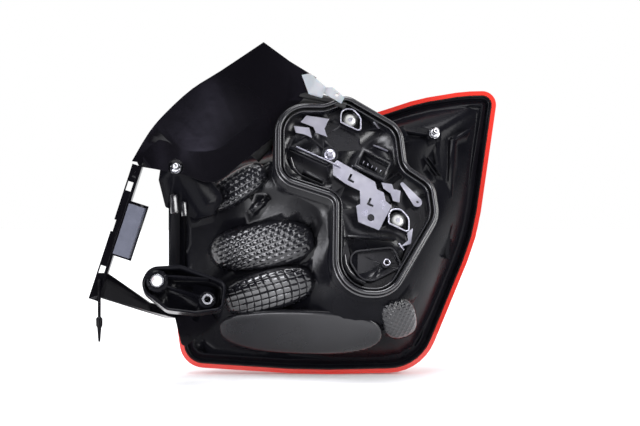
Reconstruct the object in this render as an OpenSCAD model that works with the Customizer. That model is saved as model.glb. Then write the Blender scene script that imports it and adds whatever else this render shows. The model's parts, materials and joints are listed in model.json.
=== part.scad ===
// Tail light cluster of a car, seen from its mounting side.
// +Z is up, +X is right and -Y points at the person who looks at the mounting side.
// The origin is the seat of the upper right ball stud, which is the main fixing point.

/* [Lens] */
// Distance of the lens flange behind the main stud seat
flange_y = 55; // [45:1:70]
// How far the lens bulges beyond its flange
lens_bulge = 46; // [30:1:70]
// Wall of the lens
lens_wall = 3.2; // [2.5:0.1:4.5]
// Width of the lens foot that shows round the housing
foot_width = 5.2; // [4:0.1:7]
// How far the lens skirt reaches back over the housing
skirt_depth = 12; // [9:0.5:18]

/* [Housing] */
// Wall of the housing shell
shell_wall = 2.8; // [2.2:0.1:4]
// Width of the flat rim band inside the lens foot
rim_width = 12; // [10:0.5:18]
// Thickness of the rim band
rim_thick = 8; // [6:0.5:12]
// Height of the reflector lobes above the shell
lobe_height = 22; // [16:1:28]
// Width of the glue bead between lens and housing
seal_width = 1.2; // [0.8:0.1:2]

/* [Mounting seat] */
// How far the mounting axis leans up, in degrees
lean_up = 12; // [8:0.5:16]
// How far the mounting axis leans to the right, in degrees
lean_side = 6; // [3:0.5:9]

/* [Collar and bulb carrier] */
// Height of the collar rim above the stud seat
collar_rise = 28; // [24:0.5:34]
// Wall of the collar
collar_wall = 3; // [2.4:0.1:4]
// Width of the carrier gasket
gasket_width = 2.4; // [1.6:0.1:3]
// Wall of the carrier rim and its ribs
carrier_wall = 2.2; // [1.8:0.1:3]
// Depth of the carrier floor below the collar rim
carrier_depth = 20; // [16:0.5:24]
// Thickness of the carrier floor
carrier_floor = 3; // [2:0.1:4]
// Height of the conductor plates above the carrier floor
track_height = 9; // [5:0.5:11]
// Thickness of the conductor sheet
track_thick = 1.2; // [0.8:0.1:1.6]

/* [Bulbs] */
// Diameter of the bayonet base of a bulb
base_d = 15; // [14:0.1:16]
// Length of the bayonet base
base_length = 17; // [14:0.5:20]
// Diameter of the bulb glass
glass_d = 19; // [16:0.5:21]
// Length of the bulb glass beyond its base
glass_length = 27; // [20:0.5:34]
// Clearance round a bulb base
base_gap = 0.3; // [0.2:0.05:0.6]

/* [Fixings] */
// Diameter of the ball on a stud
ball_d = 8; // [7:0.1:9]
// Shank of a stud, pressed in its post
shank_d = 6; // [5:0.1:7]
// Flange of a stud
stud_flange_d = 12.5; // [11:0.5:15]
// Height of the ball centre above the stud seat
ball_height = 14; // [11:0.5:18]
// Bore of the lower left eye
eye_bore = 12; // [9:0.5:14]
// Inner diameter of the lower bush
bush_bore = 7.6; // [6:0.1:8.5]
// Outer diameter of the lower bush
bush_d = 12; // [11:0.5:14]
// Bore of the carrier screw boss
boss_bore = 5.2; // [4:0.1:6]

/* [Gap panel] */
// Wall of the gap panel
panel_wall = 2.6; // [2:0.1:4]
// Depth of the rubber bump pad
pad_depth = 15; // [10:0.5:20]
// Length of the lock tail below the panel
tail_length = 72; // [50:1:90]

/* [Hidden] */

// A small overlap that makes two parts of one moulding fuse
fuse = 0.5;
// Angle between two points of a rounded corner
corner_step = 9;
// Plastic colours
black = [0.05, 0.05, 0.06];
metal = [0.78, 0.78, 0.84];

// Corners of the lens outline, each with its radius, anticlockwise
lens_corners = [[-322, -28, 34], [-323, -165, 200], [-306, -284, 30], [-150, -294, 600],
    [-11, -291, 62], [57, -125, 260], [83, 56, 17], [40, 55, 120], [-15, 46, 140],
    [-120, 12, 200]];
lens_centre = [-120, -120];
// Corners of the bean-shaped collar on the mounting seat
collar_corners = [[-189, 27, 34], [-190, -62, 24], [-123, -84, 14], [-127, -196, 40],
    [-62, -198, 34], [-5, -106, 34], [-9, -68, 24], [-41, -46, 18], [-45, 0, 28],
    [-108, 38, 18], [-134, 27, 24]];
shell_centre = [-95, -61];

rim_inset = foot_width + seal_width;
rim_y = flange_y - rim_thick;
skirt_y = flange_y - skirt_depth;
gasket_inset = collar_wall;
carrier_inset = collar_wall + gasket_width;
floor_w = carrier_depth - collar_rise;
track_w = floor_w - track_height;
collar_foot = 12;

// Bulb places on the seat: [u, v]
tail_bulb = [-103, 12];
stop_bulb = [-50, -109];
indicator_bulb = [-128, -30];
cap_w = floor_w - 9;
screw_boss = [-67, -161];
socket_d = base_d + 2 * base_gap + 4;
track_gap = 0.4;

// Places of the fixings
stud_left_at = [-308, -44];
eye_at = [-329, -178];
bush_at = [-272, -200];
bush_top = -14;
bush_length = 40;

// Shapes and curves
function flat(p) = [p[0], p[1]];
function unit(v) = v / norm(v);
function at(list, i) = list[(i + len(list)) % len(list)];

// Arc that rounds corner b between its neighbours a and c
function corner_arc(a, b, c) = let(
    u = unit(flat(a) - flat(b)),
    v = unit(flat(c) - flat(b)),
    half = acos(u * v) / 2,
    centre = flat(b) + unit(u + v) * b[2] / sin(half),
    from = flat(b) + u * b[2] / tan(half) - centre,
    to = flat(b) + v * b[2] / tan(half) - centre,
    a0 = atan2(from[1], from[0]),
    sweep = (atan2(to[1], to[0]) - a0 + 540) % 360 - 180,
    n = max(1, round((180 - 2 * half) / corner_step)))
    [for (k = [0:n]) centre + b[2] * [cos(a0 + sweep * k / n), sin(a0 + sweep * k / n)]];

function rounded(corners) = [for (i = [0:len(corners) - 1])
    each corner_arc(at(corners, i - 1), corners[i], at(corners, i + 1))];

// The same corners moved inwards by d, so that the rounded outline is a parallel curve
function inset(corners, d) = [for (i = [0:len(corners) - 1]) let(
    a = flat(at(corners, i - 1)),
    b = flat(corners[i]),
    c = flat(at(corners, i + 1)),
    u = unit(a - b),
    v = unit(c - b),
    side = sign(cross(b - a, c - b)),
    shift = side * unit(u + v) * d / sin(acos(u * v) / 2))
    concat(b + shift, max(0.6, corners[i][2] - side * d))];

// Point of the mounting seat in the frame of the lamp
function seat_point(u, w, v) = let(
    y = w * cos(lean_up) + v * sin(lean_up),
    z = v * cos(lean_up) - w * sin(lean_up))
    [u * cos(lean_side) - y * sin(lean_side), u * sin(lean_side) + y * cos(lean_side), z];

// Depth of the seat plane w at a place [x, z] of the lamp
function seat_depth(p, w) = let(
    n = [-sin(lean_side) * cos(lean_up), cos(lean_side) * cos(lean_up), -sin(lean_up)])
    (w - n[0] * p[0] - n[2] * p[1]) / n[1];

// Where the ray from c at angle t leaves the outline
function ray_hit(outline, c, t) = let(
    d = [cos(t), sin(t)],
    hits = [for (i = [0:len(outline) - 1]) let(
        a = outline[i] - c,
        e = at(outline, i + 1) - outline[i],
        k = cross(d, e))
        if (abs(k) > 0.000001) let(
            r = cross(a, e) / k,
            s = cross(a, d) / k)
            if (r > 0 && s >= 0 && s <= 1) r])
    c + d * max(hits);

// Faces of a closed band of rings, each with n points; the last ring joins the first
function band_faces(rings, n) = [for (j = [0:rings - 1]) for (i = [0:n - 1]) let(
    k = (i + 1) % n,
    m = (j + 1) % rings)
    each [[j * n + i, j * n + k, m * n + k], [j * n + i, m * n + k, m * n + i]]];

// A smooth curve through the points, with n steps between neighbours
function spline(p, n) = [for (i = [0:len(p) - 2]) for (k = [0:n - (i == len(p) - 2 ? 0 : 1)])
    let(t = k / n,
        a = p[max(0, i - 1)],
        b = p[i],
        c = p[i + 1],
        d = p[min(len(p) - 1, i + 2)])
        b + t * (c - a) / 2 + t * t * (a - 2.5 * b + 2 * c - d / 2)
            + t * t * t * (1.5 * (b - c) + (d - a) / 2)];

// Helpers that build solids
module on_seat() {
    rotate([-lean_up, 0, lean_side]) children();
}

// Extrudes an x-z outline from depth y0 to depth y1
module slab(y0, y1) {
    translate([0, y1, 0]) rotate([90, 0, 0]) linear_extrude(y1 - y0) children();
}

module rod(p, d, y0, y1) {
    translate([p[0], y1, p[1]]) rotate([90, 0, 0]) cylinder(d = d, h = y1 - y0, $fn = 64);
}

// Band between an outline's inset d0 and its inset d1
module band(corners, d0, d1, y0, y1) {
    slab(y0, y1) difference() {
        polygon(rounded(inset(corners, d0)));
        polygon(rounded(inset(corners, d1)));
    }
}

// A bar from a to b on the seat or the flange plane
module wall(a, b, width, y0, y1) {
    d = b - a;
    translate([a[0], 0, a[1]]) rotate([0, -atan2(d[1], d[0]), 0])
        translate([0, y0, -width / 2]) cube([norm(d), y1 - y0, width]);
}

// A thin sheet given by rows of points on its near face
module sheet(rows, thick) {
    n = len(rows[0]);
    m = len(rows);
    front = [for (r = rows) each r];
    points = concat(front, [for (p = front) p + [0, thick, 0]]);
    near = [for (j = [0:m - 2]) for (i = [0:n - 2])
        each [[j * n + i, j * n + i + 1, (j + 1) * n + i + 1],
            [j * n + i, (j + 1) * n + i + 1, (j + 1) * n + i]]];
    far = [for (f = near) [f[2] + m * n, f[1] + m * n, f[0] + m * n]];
    edge = concat([for (i = [0:n - 1]) i], [for (j = [1:m - 1]) j * n + n - 1],
        [for (i = [n - 2:-1:0]) (m - 1) * n + i], [for (j = [m - 2:-1:1]) j * n]);
    sides = [for (i = [0:len(edge) - 1]) let(
        a = edge[i],
        b = at(edge, i + 1))
        each [[b, a, a + m * n], [b, a + m * n, b + m * n]]];
    polyhedron(points, concat(near, far, sides));
}

// Housing shell
// Reflector lobes: place [x, z], half length, half width, turn, depth of the base, its slope
// along and across the lobe, and share of the lobe height
lobes = [[-237, -64, 42, 19, 31, -2, -0.38, 0.3, 0.85],
    [-207, -134, 65, 29, 9, 2, -0.36, -0.03, 1],
    [-199, -188, 58, 26, 16, 6, -0.33, -0.24, 1],
    [-43, -220, 22, 26, 14, -10, 0.3, -0.6, 0.8],
    [-166, -242, 96, 25, -1, 15, -0.25, -0.6, 0.5]];
lobe_steps = 4;
lobe_points = 28;
// Rays of the shell grid, closer together on the side of the lobes
rays = concat([for (i = [0:36]) 110 + 5 * i], [for (i = [0:8]) 301 + 10 * i],
    [387, 391.6, 396, 404, 414, 424, 434, 444, 454, 462]);
// How much of the rim band's width lies outside the shell's edge
shell_lap = 3.4;
shell_rings = 12;
foot_w = collar_foot - 5;
shell_y = rim_y + 2;

// Free-form shell between the collar and the rim
module shell() {
    top = [for (p = rounded(inset(collar_corners, collar_wall / 2)))
        let(q = seat_point(p[0], foot_w, p[1])) [q[0], q[2]]];
    low = rounded(inset(lens_corners, rim_inset + rim_width - shell_lap));
    spokes = [for (t = rays) let(
        from = ray_hit(top, shell_centre, t),
        to = ray_hit(low, shell_centre, t),
        reach = norm(to - shell_centre) - norm(from - shell_centre))
        [from, to, min(1, max(0, 1 - reach / 60)), t]];
    skin = [for (j = [0:shell_rings]) [for (s = spokes) let(
        share = j / shell_rings,
        p = s[0] + (s[1] - s[0]) * share,
        near = seat_depth(s[0], foot_w))
        [p[0], near + (shell_y - near) * pow(share, 1.7 - 1.1 * s[2]), p[1]]]];
    into = [for (s = spokes) 1.5 * shell_wall
        * unit([-s[2] * cos(s[3]), 1 - s[2], -s[2] * sin(s[3])])];
    inside = [for (j = [1:shell_rings - 1]) skin[j] + into];
    n = len(rays);
    last = shell_rings * n;
    faces = [for (f = band_faces(shell_rings + 1, n)) if (max(f) - min(f) < 2 * n) f];
    back = [for (f = faces) [for (k = [2:-1:0]) f[k] < n || f[k] >= last ? f[k] : f[k] + last]];
    polyhedron([for (r = concat(skin, inside)) each r], concat(faces, back));
}

// Point of a lobe at place [u, v] of its own base, raised towards the viewer
function lobe_point(l, u, v, rise) = [l[0] + u * cos(l[4]) - v * sin(l[4]),
    l[5] + l[6] * u + l[7] * v - rise, l[1] + u * sin(l[4]) + v * cos(l[4])];

// Rounded loaf of one lobe, d smaller all round, from depth base behind its base plane
module loaf(l, d, base) {
    rim = [for (i = [0:lobe_points - 1]) let(t = -360 * i / lobe_points)
        [(l[2] - d) * sign(cos(t)) * pow(abs(cos(t)), 0.8),
            (l[3] - d) * sign(sin(t)) * pow(abs(sin(t)), 0.8)]];
    high = lobe_height * l[8] - d;
    rings = concat([[for (p = rim) lobe_point(l, p[0], p[1], -base)]],
        [for (k = [0:lobe_steps - 1]) let(a = 90 * k / lobe_steps)
            [for (p = rim) lobe_point(l, p[0] * pow(cos(a), 0.6), p[1] * pow(cos(a), 0.6),
                high * pow(sin(a), 0.8))]]);
    n = lobe_points;
    m = len(rings);
    tips = [lobe_point(l, 0, 0, -base), lobe_point(l, 0, 0, high)];
    sides = [for (f = band_faces(m, n)) if (max(f) - min(f) < 2 * n) f];
    caps = [for (i = [0:n - 1]) let(k = (i + 1) % n)
        each [[k, i, m * n], [(m - 1) * n + i, (m - 1) * n + k, m * n + 1]]];
    polyhedron(concat([for (r = rings) each r], tips), concat(sides, caps));
}

// Shell with its hollow lobes, as the backs of the reflector bowls
module lobed_shell() {
    difference() {
        union() {
            shell();
            for (l = lobes) {
                loaf(l, 0, 1);
            }
        }
        for (l = lobes) {
            loaf(l, shell_wall, 24);
        }
    }
}

module collar() {
    on_seat() {
        band(collar_corners, 0, collar_wall, -collar_rise, collar_foot);
        band(collar_corners, -4, fuse, -6, collar_foot + 4);
        band(collar_corners, -1.6, fuse, -collar_rise + 5, -collar_rise + 8);
        // Snap latch of the carrier on the right of the collar
        band([[-46, 6, 1], [-37, 9, 1], [-30, -9, 1], [-39, -13, 1]], 0, 2, -collar_rise + 3, 2);
        slab(-4, 2) polygon([[-46, 6], [-37, 9], [-30, -9], [-39, -13]]);
    }
}

// Rim band with its glue groove rib
module rim() {
    difference() {
        band(lens_corners, rim_inset, rim_inset + rim_width, rim_y, flange_y);
        band(lens_corners, rim_inset + 3, rim_inset + 6, rim_y - 1, rim_y + 3);
    }
    band(lens_corners, rim_inset + rim_width - 3, rim_inset + rim_width, rim_y - 2.5, rim_y + 1);
}

// Post that carries the right stud, with its two webs
module right_post() {
    on_seat() {
        rod([0, 0], 17, 0, 34);
        wall([0, 0], [-34, 3], 4, 4, 26);
        wall([0, 0], [4, -34], 4, 10, 30);
    }
}

// Tower of the left stud, open on its left side
module left_tower() {
    plan = [[-322, -30, 6], [-326, -56, 4], [-318, -88, 4], [-284, -101, 6], [-264, -97, 8],
        [-250, -77, 12], [-285, -33, 8]];
    band(plan, 0, 3, -36, skirt_y - 0.6);
    slab(-36, -26) polygon(rounded(plan));
    wall([-296, -96], [-300, -34], 3, -34, skirt_y - 1.3);
    on_seat() rod(stud_left_at, 16, 0, 16);
}

// Lower left arm with its eye, bush boss and web
module eye_arm() {
    plan = [[-350, -186, 17], [-318, -212, 12], [-286, -216, 10], [-254, -212, 10],
        [-250, -180, 10], [-302, -160, 12], [-338, -162, 17]];
    web = [[-286, -206, 5], [-258, -204, 5], [-256, -182, 5], [-284, -176, 5]];
    on_seat() {
        band(plan, 0, 3, -12, 14);
        slab(6, 14) polygon(rounded(plan));
        rod(eye_at, eye_bore + 13, -12, 14);
        rod(bush_at, bush_d + 7, -8, 14);
        wall([-318, -172], [-270, -176], 2.4, -9, 10);
        wall([-318, -184], [-280, -196], 2.4, -9, 10);
    }
    slab(-64, rim_y + 3.7) polygon(rounded(web));
}

// Strip that covers the lens foot on the left side
module side_strip() {
    slab(skirt_y - 3.5, skirt_y - fuse)
        polygon([[-323, -70], [-323, -180], [-309.3, -184], [-309.3, -70]]);
    slab(skirt_y - 1, rim_y + 1)
        polygon([[-314, -74], [-314, -174], [-303.4, -180], [-303.4, -74]]);
}

// Ribs and facets of the flat wall right of the collar
module side_ribs() {
    wall([24, -6], [17, -150], 5, 14, rim_y + 1.6);
    wall([24, -6], [46, 6], 4, 16, rim_y + 1.2);
    wall([-219, -93], [-199, -77], 8, -22, 4);
    for (k = [0:3]) {
        wall([-22 + 5 * k, -28], [-6 + 5 * k, -50], 1.8, 1, 24);
    }
}

// Holes for the stud shanks, the eye sleeve and the bush
module fixing_holes() {
    on_seat() {
        rod([0, 0], shank_d, -1, 15);
        rod(stud_left_at, shank_d, -1, 12);
        rod(eye_at, eye_bore + 3, -13, 15);
        rod(bush_at, bush_d, bush_top - 1, bush_top + bush_length);
    }
}

module housing() {
    color(black) difference() {
        union() {
            lobed_shell();
            right_post();
            left_tower();
            eye_arm();
            side_ribs();
            collar();
            rim();
            side_strip();
        }
        fixing_holes();
    }
}

// Lens
dome_rings = 8;

// Share of the outline's size and of the bulge at step k of the dome
function dome_size(k) = pow(cos(90 * k / dome_rings), 0.5);
function dome_height(k) = pow(sin(90 * k / dome_rings), 0.85);

// The lens is deeper towards the outer side of the car
function dome_ring(outline, bulge, k) = [for (p = outline) let(
    q = lens_centre + (p - lens_centre) * dome_size(k),
    lean = 1 + (q[0] - lens_centre[0]) / 900)
    [q[0], flange_y + bulge * dome_height(k) * lean, q[1]]];

module lens_shell() {
    edge = rounded(lens_corners);
    foot = rounded(inset(lens_corners, foot_width));
    inside = rounded(inset(lens_corners, lens_wall));
    n = len(edge);
    bulge_in = lens_bulge - lens_wall;
    rings = concat([for (k = [dome_rings - 1:-1:0]) dome_ring(inside, bulge_in, k)],
        [[for (p = inside) [p[0], skirt_y + 5.5, p[1]]],
            [for (p = foot) [p[0], skirt_y + 3.5, p[1]]],
            [for (p = foot) [p[0], skirt_y, p[1]]], [for (p = edge) [p[0], skirt_y, p[1]]]],
        [for (k = [0:dome_rings - 1]) dome_ring(edge, lens_bulge, k)]);
    m = len(rings);
    tips = [[lens_centre[0], flange_y + bulge_in, lens_centre[1]],
        [lens_centre[0], flange_y + lens_bulge, lens_centre[1]]];
    bands = [for (f = band_faces(m, n)) if (max(f) < m * n && !(min(f) < n && max(f) >= (m - 1) * n)) f];
    caps = [for (i = [0:n - 1]) each [[i, m * n, (i + 1) % n],
        [(m - 1) * n + i, (m - 1) * n + (i + 1) % n, m * n + 1]]];
    polyhedron(concat([for (r = rings) each r], tips), concat(bands, caps));
}

// Plan of the colourless window of the lens
module window_plan(gap) {
    polygon(rounded(inset([[-262, -92, 20], [-246, -150, 20], [-60, -150, 24], [-46, -92, 24]], gap)));
}

module outer_lens() {
    color("red") difference() {
        lens_shell();
        slab(flange_y + 14, flange_y + 2 * lens_bulge) window_plan(0);
    }
}

module clear_window() {
    color([0.9, 0.9, 0.92]) intersection() {
        lens_shell();
        slab(flange_y + 14, flange_y + 2 * lens_bulge) window_plan(0.05);
    }
}

module lens_seal() {
    color("dimgray") band(lens_corners, foot_width, rim_inset, rim_y, rim_y + 4);
}

module inner_bezel() {
    color("silver") {
        band(lens_corners, rim_inset + 1, rim_inset + 17, flange_y, flange_y + 4);
        intersection() {
            slab(flange_y, flange_y + 4) polygon(rounded(inset(lens_corners, rim_inset + 2)));
            union() {
                for (z = [-88, -154]) {
                    wall([-330, z], [90, z], 8, flange_y, flange_y + 7);
                }
                wall([-150, -60], [-150, 60], 8, flange_y, flange_y + 6);
                wall([-40, -158], [-60, -300], 8, flange_y, flange_y + 6);
            }
        }
    }
}

// Bulb carrier
// Plan of the D-shaped shroud round a bulb base
function shroud_plan(p) = [[p[0] - 12, p[1] + 13, 9], [p[0] - 13, p[1] - 5, 4],
    [p[0] + 12, p[1] - 17, 4], [p[0] + 13, p[1] + 2, 12], [p[0] + 3, p[1] + 13, 9]];

module shroud(p) {
    band(shroud_plan(p), 0, 1.8, cap_w - 5, floor_w + fuse);
}

// Tube that holds a bulb base, with its through hole left to the carrier
module socket_tube(p) {
    rod(p, socket_d, track_w + track_thick, floor_w + carrier_floor + 6);
}

earth_plan = [[-125, -42], [-120, -37], [-100, -49], [-76, -63], [-74, -72], [-66, -76], [-64, -86],
    [-57, -92], [-73, -121], [-97, -111], [-99, -92], [-94, -90], [-94, -74], [-110, -66], [-125, -55]];
stop_plan = [[-68, -64], [-56, -66], [-54, -72], [-46, -74], [-48, -88], [-55, -86], [-58, -77],
    [-66, -71]];
tail_plan = [[-162, 9], [-155, 17], [-128, 13], [-134, 1], [-131, -9], [-144, -4], [-147, 3]];
indicator_plan = [[-170, 4], [-152, 2], [-149, -10], [-158, -6], [-168, -4]];
reverse_plan = [[-49, -141], [-36, -137], [-33, -119], [-40, -123], [-39, -133]];

module track_bed(plan) {
    slab(track_w + track_thick, floor_w + fuse) offset(delta = -1.6) polygon(plan);
}

module carrier_block() {
    translate([-78, 0, -43]) rotate([0, 27, 0]) {
        difference() {
            translate([-20, -collar_rise + 6, -12]) cube([40, carrier_depth - 6 + fuse, 25]);
            translate([-16, -collar_rise + 5, -8]) cube([32, 12, 17]);
        }
    }
}

module bulb_carrier() {
    color([0.08, 0.08, 0.09]) on_seat() {
        difference() {
            union() {
                band(collar_corners, carrier_inset, carrier_inset + carrier_wall,
                    -collar_rise + 4, floor_w + fuse);
                slab(floor_w, floor_w + carrier_floor)
                    polygon(rounded(inset(collar_corners, carrier_inset)));
                shroud(tail_bulb);
                shroud(stop_bulb);
                for (p = [tail_bulb, stop_bulb, indicator_bulb]) {
                    socket_tube(p);
                }
                for (plan = [earth_plan, stop_plan, tail_plan, indicator_plan, reverse_plan]) {
                    track_bed(plan);
                }
                carrier_block();
                rod(screw_boss, boss_bore + 4.4, -collar_rise + 7, floor_w + carrier_floor);
                wall([-176, -22], [-131, -42], 3, -collar_rise + 8, floor_w + fuse);
                wall([-110, -128], [-54, -131], 3, -collar_rise + 9, floor_w + fuse);
                wall([-160, -50], [-136, -62], 3, -collar_rise + 9, floor_w + fuse);
                band([[-116, -146, 12], [-92, -186, 18], [-46, -164, 8], [-56, -140, 8]], 0, 2,
                    -collar_rise + 12, floor_w + 14);
            }
            for (p = [tail_bulb, stop_bulb, indicator_bulb]) {
                rod(p, base_d + 2 * base_gap, cap_w, floor_w + carrier_floor + 7);
                rod(p, 12.6, cap_w - 6, cap_w + 1);
            }
            rod(screw_boss, boss_bore, -collar_rise, floor_w + carrier_floor + 1);
        }
    }
}

module carrier_gasket() {
    color("black") on_seat()
        band(collar_corners, gasket_inset, carrier_inset, -collar_rise + 7, -collar_rise + 12);
}

// A conductor plate with rectangular punched windows and round holes
module track(plan, windows = [], holes = []) {
    on_seat() slab(track_w, track_w + track_thick) difference() {
        polygon(plan);
        for (p = windows) {
            translate(p) rotate(-27) difference() {
                square([8, 9], center = true);
                translate([1.4, 1.4]) square([5.4, 6.4], center = true);
            }
        }
        for (p = holes) {
            translate(p) circle(d = 8.4, $fn = 48);
        }
        for (p = [tail_bulb, stop_bulb]) {
            polygon(rounded(inset(shroud_plan(p), -track_gap)));
        }
        translate(indicator_bulb) circle(d = socket_d + 2 * track_gap, $fn = 48);
    }
}

module earth_track() {
    color(metal) {
        track(earth_plan, [[-103, -59], [-81, -88]], [[-82, -106]]);
        on_seat() wall([-168, -22], [-116, -46], 1.4, track_w - 4, track_w);
    }
}

module stop_track() {
    color(metal) track(stop_plan);
}

module tail_track() {
    color(metal) track(tail_plan);
}

module indicator_track() {
    color(metal) track(indicator_plan);
}

module reverse_track() {
    color(metal) track(reverse_plan);
}

// Sprung contacts that press on the bulb caps
module contact_springs() {
    color(metal) on_seat() {
        for (p = [tail_bulb, stop_bulb, indicator_bulb]) {
            difference() {
                rod(p, 5, cap_w - 1.4, cap_w);
                rod(p, 2, cap_w - 2, cap_w + 1);
            }
        }
    }
}

module connector_pins() {
    color(metal) on_seat() translate([-78, 0, -43]) rotate([0, 27, 0]) {
        for (k = [-2:2]) {
            translate([5.6 * k - 0.4, -collar_rise + 9, -4]) cube([0.8, 8, 2.8]);
        }
    }
}

// Flat lever with a round eye that frees the carrier
module release_lever() {
    color(metal) on_seat() slab(track_w - 2, track_w - 0.4) difference() {
        hull() {
            translate([-44, -66]) circle(d = 4, $fn = 24);
            translate([-27, -88]) circle(d = 11, $fn = 32);
        }
        translate([-27, -88]) circle(d = 3.4, $fn = 24);
    }
}

// Bulbs
module bulb_base(p) {
    color("silver") on_seat() translate([p[0], cap_w, p[1]]) rotate([-90, 0, 0]) {
        rotate_extrude($fn = 64) polygon([[0, 0], [base_d / 2 - 2, 0], [base_d / 2, 2],
            [base_d / 2, base_length], [0, base_length]]);
    }
}

module bulb_glass(p, tint) {
    r = glass_d / 2;
    top = cap_w + base_length;
    color(tint) on_seat() translate([p[0], top, p[1]]) rotate([-90, 0, 0]) {
        rotate_extrude($fn = 64) polygon(concat([[0, 0], [base_d / 2 - 1.5, 0]],
            [for (a = [-40:10:90]) [r * cos(a), glass_length - r + r * sin(a)]]));
    }
}

module tail_bulb_base() {
    bulb_base(tail_bulb);
}

module tail_bulb_glass() {
    bulb_glass(tail_bulb, "white");
}

module stop_bulb_base() {
    bulb_base(stop_bulb);
}

module stop_bulb_glass() {
    bulb_glass(stop_bulb, "white");
}

module indicator_bulb_base() {
    bulb_base(indicator_bulb);
}

module indicator_bulb_glass() {
    bulb_glass(indicator_bulb, "orange");
}

// Fixings
// Ball stud with its pressed shank, flange and neck
module ball_stud(p, shank) {
    r = ball_d / 2;
    color("silver") on_seat() translate([p[0], 0, p[1]]) rotate([90, 0, 0])
        rotate_extrude($fn = 64) polygon(concat([[0, -shank], [shank_d / 2, -shank],
            [shank_d / 2, 0], [stud_flange_d / 2, 0], [stud_flange_d / 2, 3], [shank_d / 2 + 1, 3.6],
            [2.6, 5], [2.6, ball_height - r * 0.76]],
            [for (a = [-40:10:80]) [r * cos(a), ball_height + r * sin(a)]],
            [[0, ball_height + r]]));
}

module stud_right() {
    ball_stud([0, 0], 14);
}

module stud_left() {
    ball_stud(stud_left_at, 11);
}

module lower_bush() {
    color("silver") on_seat() difference() {
        rod(bush_at, bush_d, bush_top, bush_top + bush_length - 4);
        rod(bush_at, bush_bore, bush_top - 1, bush_top + bush_length);
    }
}

module eye_sleeve() {
    color("silver") on_seat() difference() {
        rod(eye_at, eye_bore + 3, -12, 14);
        rod(eye_at, eye_bore, -13, 15);
    }
}

// Gap panel
panel_y = -60;
clip_y = -43;
foot_y = 20;
bar_top = [-352, -34];
bar_low = [-399, -178];
bar_turn = atan2(bar_top[0] - bar_low[0], bar_top[1] - bar_low[1]);
bar_length = norm(bar_top - bar_low);
bar_width = 11;

// Puts children on the bar, with x across it and z up along it from its low end
module on_bar() {
    translate([bar_low[0], 0, bar_low[1]]) rotate([0, bar_turn, 0]) children();
}

// Glossy fin: outer edge, crease and foot, each from the bar to the upper right corner
module fin() {
    edge = concat(spline([[-354, panel_y, -35], [-334, -62, -2], [-314, -64, 21], [-284, -65, 48],
        [-251, -64, 69], [-202, -56, 103]], 3), [[-172, -46, 82], [-141, -36, 64]]);
    crease = concat(spline([[-348, -59, -36], [-323, -57, -10], [-294, -52, -22], [-258, -46, -21],
        [-232, -42, -2], [-204, -38, 20]], 3), [[-176, -35, 37], [-146, -34, 52]]);
    foot = concat(spline([[-346, -58, -41], [-322, -50, -45], [-296, -46, -50], [-260, -42, -59],
        [-226, -38, -34], [-192, -34, -6]], 3), [[-172, -32, 24], [-150, -32, 46]]);
    difference() {
        sheet([edge, crease, foot], panel_wall);
        on_seat() {
            rod(stud_left_at, stud_flange_d + 5, -30, 30);
            slab(-70, 40) polygon(rounded(inset(collar_corners, -4.6)));
        }
    }
}

module bar() {
    on_bar() difference() {
        union() {
            translate([0, panel_y, -16]) cube([bar_width, panel_wall, bar_length + 12]);
            translate([bar_width - 1.6, panel_y - 1, -16]) cube([2.4, 12, bar_length + 14]);
            translate([bar_width, panel_y, 40]) cube([22, 3, 66]);
        }
        for (z = [14, 116]) {
            translate([1.6, panel_y - 2, z]) cube([6.4, 30, 11]);
        }
        translate([-1, panel_y - 2, 66]) cube([3.4, 30, 14]);
    }
}

module lower_arm() {
    near = [-393, panel_y, -192];
    mid = [-346, -24, -211];
    far = [-324, foot_y - 6, -222];
    hull() {
        translate(near) cube([10, 6, 28]);
        translate(mid) cube([8, 8, 10]);
    }
    hull() {
        translate(mid) cube([8, 8, 10]);
        translate(far) cube([12, 10, 12]);
    }
}

module corner_foot() {
    slab(foot_y, foot_y + 4) difference() {
        polygon(rounded([[-316, -210, 4], [-304, -260, 5], [-262, -226, 4], [-274, -211, 4]]));
        translate([-287, -221]) circle(d = 11, $fn = 48);
    }
}

module gap_panel() {
    color([0.07, 0.07, 0.08]) {
        fin();
        bar();
        lower_arm();
        corner_foot();
    }
}

module bump_pad() {
    color([0.25, 0.27, 0.32]) on_bar() translate([bar_width + 1.6, panel_y - pad_depth, 43])
        cube([19, pad_depth, 60]);
}

module lock_tail() {
    color("black") translate([-391, panel_y - 2.8, -171]) rotate([180, 0, 0]) rotate_extrude($fn = 32)
        polygon([[0, 0], [1.8, 0], [1.8, tail_length * 0.6], [3.8, tail_length * 0.63],
            [3.8, tail_length * 0.74], [2.4, tail_length * 0.78], [1.2, tail_length],
            [0, tail_length]]);
}

module clip_bracket() {
    color("gainsboro") {
        slab(-46, clip_y) polygon([[-158, 66], [-148, 68], [-130, 52], [-134, 40], [-150, 44]]);
        wall([-148, 45], [-134, 41], 3, clip_y - fuse, clip_y + 5);
    }
}

module nylon_clip() {
    color("gainsboro") {
        slab(clip_y, clip_y + 3) difference() {
            polygon([[-136, 47], [-132, 52], [-122, 52], [-108, 40], [-112, 33], [-124, 40]]);
            translate([-117, 43]) circle(d = 4, $fn = 32);
        }
        difference() {
            rod([-117, 43], 8, clip_y + 3 - fuse, -33);
            rod([-117, 43], 4, clip_y, -32);
        }
    }
}

module panel_rivets() {
    color("dimgray") for (p = [[-306, -224], [-298, -246]]) {
        rod(p, 7, foot_y - 2, foot_y);
    }
}

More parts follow.
